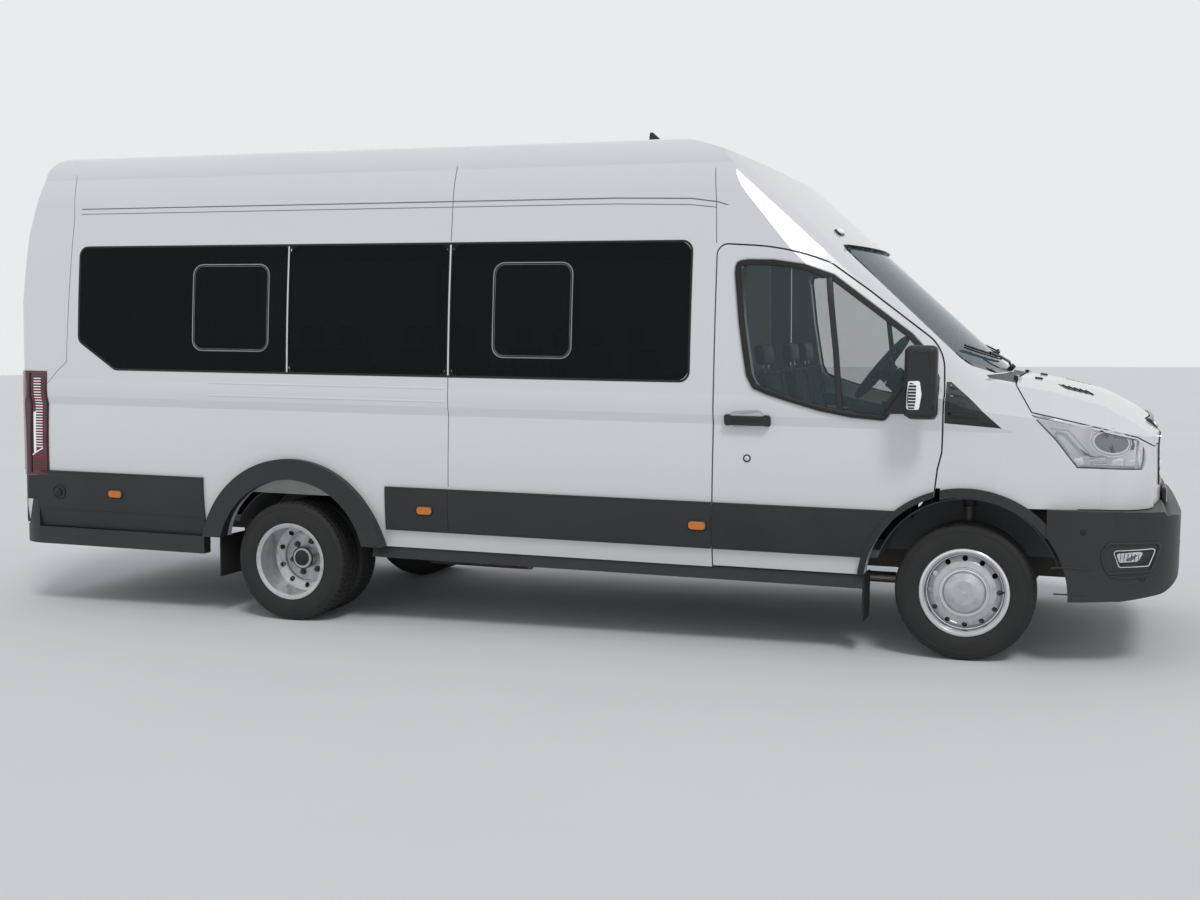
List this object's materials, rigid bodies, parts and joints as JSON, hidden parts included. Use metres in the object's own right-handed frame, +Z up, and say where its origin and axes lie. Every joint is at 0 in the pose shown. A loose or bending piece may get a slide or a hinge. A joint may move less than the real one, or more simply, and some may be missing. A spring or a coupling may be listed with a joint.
{
  "type": "minibus",
  "caption": "High-roof passenger minibus with twin rear wheels, hinged cab and rear doors, hinged bonnet, steered front wheels and a seated cabin.",
  "frame": {"origin": "on the ground, at mid-length on the middle line", "axes": "+X forwards, +Y to the vehicle's left, +Z up"},
  "size_m": [6.7049, 2.4742, 2.7969],
  "materials": {
    "body_paint": "gloss",
    "grey_plastic": "fine grain, satin",
    "black_plastic": "fine grain, satin",
    "lamp_glass": "clear lens over reflectors",
    "clear_glass": "lightly tinted",
    "privacy_glass": "dark tinted",
    "red_lens": "ribbed lens",
    "amber_lens": "ribbed lens",
    "floor_paint": "satin",
    "chassis_paint": "satin",
    "cast_metal": "as cast",
    "exhaust_steel": "dull",
    "cabin_plastic": "fine grain",
    "seat_cloth": "woven",
    "rubber": "matt",
    "wheel_silver": "silver satin",
    "tyre": "matt"
  },
  "bodies": {
    "body": {"roof": "body_paint", "right_middle_panel": "body_paint", "right_rear_quarter": "body_paint", "left_rear_quarter": "body_paint", "left_sliding_door": "body_paint", "screen_frame": "body_paint", "cowl": "grey_plastic", "front_wings": "body_paint", "front_panel": "body_paint", "front_lamps": "lamp_glass", "front_grille": "black_plastic", "front_bumper": "grey_plastic", "windscreen": "clear_glass", "side_glass": "privacy_glass", "side_mouldings": "grey_plastic", "sills": "black_plastic", "tail_lamps": "red_lens", "marker_lamps": "amber_lens", "rear_bumper": "grey_plastic", "floor": "floor_paint", "underframe": "chassis_paint", "engine": "cast_metal", "fuel_tank": "black_plastic", "exhaust": "exhaust_steel", "rear_axle": "chassis_paint", "front_subframe": "chassis_paint", "dashboard": "cabin_plastic", "cab_seats": "seat_cloth", "passenger_seats": "seat_cloth", "seat_frames": "chassis_paint", "aerial": "black_plastic", "mud_flaps": "rubber"},
    "bonnet": {"bonnet": "body_paint"},
    "right_cab_door": {"right_cab_door": "body_paint", "right_door_glass": "clear_glass", "right_door_trim": "black_plastic"},
    "left_cab_door": {"left_cab_door": "body_paint", "left_door_glass": "clear_glass", "left_door_trim": "black_plastic"},
    "rear_door_right": {"rear_door_right": "body_paint", "rear_glass_right": "privacy_glass"},
    "rear_door_left": {"rear_door_left": "body_paint", "rear_glass_left": "privacy_glass"},
    "right_knuckle": {"right_knuckle": "cast_metal"},
    "left_knuckle": {"left_knuckle": "cast_metal"},
    "right_front_wheel": {"right_front_rim": "wheel_silver", "right_front_tyre": "tyre"},
    "left_front_wheel": {"left_front_rim": "wheel_silver", "left_front_tyre": "tyre"},
    "right_rear_wheels": {"right_rear_rims": "wheel_silver", "right_rear_tyres": "tyre"},
    "left_rear_wheels": {"left_rear_rims": "wheel_silver", "left_rear_tyres": "tyre"},
    "steering_wheel": {"steering_wheel": "cabin_plastic"}
  },
  "joints": [
    {"name": "right_cab_door_hinge", "type": "hinge", "parent": "body", "child": "right_cab_door", "pos_m": [2.15929, -1.006, 1.16494], "axis": [0.0163, 0, 0.9999], "range_deg": [0, 62]},
    {"name": "left_cab_door_hinge", "type": "hinge", "parent": "body", "child": "left_cab_door", "pos_m": [2.15929, 1.006, 1.16494], "axis": [-0.0163, 0, -0.9999], "range_deg": [0, 62]},
    {"name": "right_rear_door_hinge", "type": "hinge", "parent": "body", "child": "rear_door_right", "pos_m": [-3.27509, -0.892, 1.55363], "axis": [0.0163, 0, 0.9999], "range_deg": [0, 180]},
    {"name": "left_rear_door_hinge", "type": "hinge", "parent": "body", "child": "rear_door_left", "pos_m": [-3.27509, 0.892, 1.55363], "axis": [-0.0163, 0, -0.9999], "range_deg": [0, 180]},
    {"name": "bonnet_hinge", "type": "hinge", "parent": "body", "child": "bonnet", "pos_m": [2.54715, 0, 1.39864], "axis": [0, -1, 0], "range_deg": [0, 52]},
    {"name": "right_steer", "type": "hinge", "parent": "body", "child": "right_knuckle", "pos_m": [2.329, -0.79, 0.205], "axis": [0, 0.1837, 0.983], "range_deg": [-34, 34]},
    {"name": "left_steer", "type": "hinge", "parent": "body", "child": "left_knuckle", "pos_m": [2.329, 0.79, 0.205], "axis": [0, -0.1837, 0.983], "range_deg": [-34, 34]},
    {"name": "steering_column", "type": "hinge", "parent": "body", "child": "steering_wheel", "pos_m": [1.84973, -0.47, 1.44002], "axis": [0.7712, 0, -0.6365], "range_deg": [-520, 520]},
    {"name": "right_front_spin", "type": "hinge", "parent": "right_knuckle", "child": "right_front_wheel", "pos_m": [2.329, -0.868, 0.343], "axis": [0, 1, 0], "continuous": true},
    {"name": "right_rear_spin", "type": "hinge", "parent": "body", "child": "right_rear_wheels", "pos_m": [-1.421, -0.8205, 0.343], "axis": [0, 1, 0], "continuous": true},
    {"name": "left_front_spin", "type": "hinge", "parent": "left_knuckle", "child": "left_front_wheel", "pos_m": [2.329, 0.868, 0.343], "axis": [0, 1, 0], "continuous": true},
    {"name": "left_rear_spin", "type": "hinge", "parent": "body", "child": "left_rear_wheels", "pos_m": [-1.421, 0.8205, 0.343], "axis": [0, 1, 0], "continuous": true}
  ],
  "couplings": [
    {"joint": "left_steer", "follows": "right_steer", "ratio": 1},
    {"joint": "steering_column", "follows": "right_steer", "ratio": -15}
  ]
}
